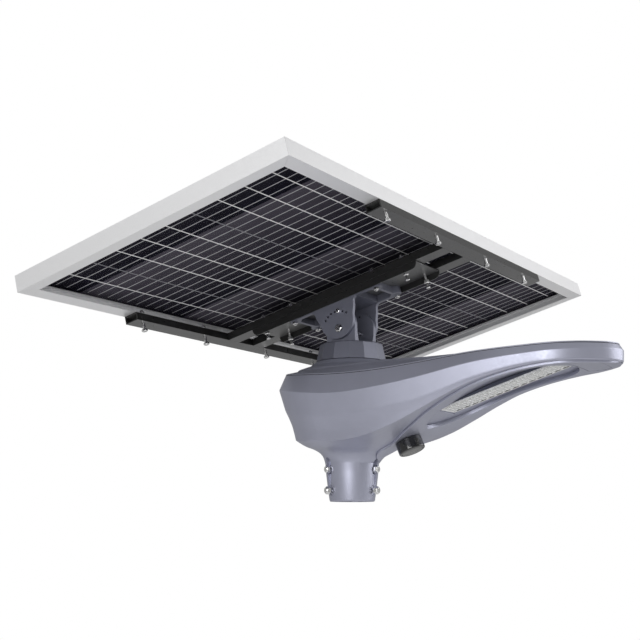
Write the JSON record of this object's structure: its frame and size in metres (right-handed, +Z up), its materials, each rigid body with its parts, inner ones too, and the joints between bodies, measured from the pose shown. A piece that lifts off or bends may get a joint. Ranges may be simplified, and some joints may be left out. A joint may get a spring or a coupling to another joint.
{
  "type": "solar street lamp",
  "caption": "Pole-top solar street lamp: boat-shaped lamp head with a lens strip and motion sensor under its arm, and a tilting, swivelling solar panel above.",
  "frame": {"origin": "centre of the pole sleeve's bottom rim", "axes": "+Z up along the pole, +X along the lamp arm to its tip, Y along the panel's long side and the tilt axis"},
  "size_m": [0.8216, 1.2, 0.5001],
  "materials": {
    "body_paint": "satin blue-grey powder coat",
    "bracket_paint": "satin dark blue-grey powder coat",
    "black_steel": "satin black powder coat",
    "anodised_aluminium": "silver anodised",
    "stainless_steel": "bright stainless",
    "clear_glass": "clear, glossy",
    "solar_cells": "dark cells with silver ribbons, laminated",
    "black_plastic": "moulded",
    "glossy_black": "polished",
    "lens_plastic": "clear moulded lenses",
    "heat_sink_metal": "dark anodised",
    "circuit_board": "white solder mask",
    "green_board": "green solder mask",
    "seal_rubber": "matt",
    "battery_wrap": "shrink wrap"
  },
  "bodies": {
    "lamp_head": {"lamp_housing": "body_paint", "top_cover": "body_paint", "housing_gasket": "seal_rubber", "underside_cover": "body_paint", "tip_hatch": "body_paint", "led_heat_sink": "heat_sink_metal", "led_board": "circuit_board", "led_lens": "lens_plastic", "sensor_body": "glossy_black", "sensor_lens": "glossy_black", "sensor_board": "green_board", "battery_pack": "battery_wrap", "charge_controller": "black_plastic", "set_bolt_1": "stainless_steel", "set_bolt_2": "stainless_steel", "set_bolt_3": "stainless_steel", "set_bolt_4": "stainless_steel", "set_bolt_5": "stainless_steel", "set_bolt_6": "stainless_steel"},
    "swivel_head": {"turret": "bracket_paint", "swivel_retainer": "stainless_steel", "pivot_bolt_near": "stainless_steel", "pivot_bolt_far": "stainless_steel"},
    "panel_assembly": {"tilt_bracket": "bracket_paint", "index_bolt_near": "stainless_steel", "index_bolt_far": "stainless_steel", "panel_frame_high": "anodised_aluminium", "panel_frame_low": "anodised_aluminium", "panel_frame_near": "anodised_aluminium", "panel_frame_far": "anodised_aluminium", "rear_glass": "clear_glass", "front_glass": "clear_glass", "cell_sheet": "solar_cells", "junction_box": "black_plastic", "junction_box_lid": "black_plastic", "panel_cable_gland": "black_plastic", "rail_low": "black_steel", "rail_high": "black_steel", "cross_bar_near": "black_steel", "cross_bar_far": "black_steel", "bracket_plate": "black_steel", "rail_bolt_1": "stainless_steel", "rail_bolt_2": "stainless_steel", "rail_bolt_3": "stainless_steel", "rail_bolt_4": "stainless_steel", "rail_bolt_5": "stainless_steel", "rail_bolt_6": "stainless_steel", "rail_bolt_7": "stainless_steel", "rail_bolt_8": "stainless_steel", "corner_bolt_1": "stainless_steel", "lug_bolt_1": "stainless_steel", "corner_bolt_2": "stainless_steel", "lug_bolt_2": "stainless_steel", "corner_bolt_3": "stainless_steel", "lug_bolt_3": "stainless_steel", "corner_bolt_4": "stainless_steel", "lug_bolt_4": "stainless_steel"}
  },
  "joints": [
    {"name": "panel_swivel", "type": "hinge", "parent": "lamp_head", "child": "swivel_head", "pos_m": [0, 0, 0.2622], "axis": [0, 0, 1], "range_deg": [-90, 90]},
    {"name": "panel_tilt", "type": "hinge", "parent": "swivel_head", "child": "panel_assembly", "pos_m": [0, 0, 0.3227], "axis": [0, 1, 0], "range_deg": [-30, 30]}
  ]
}
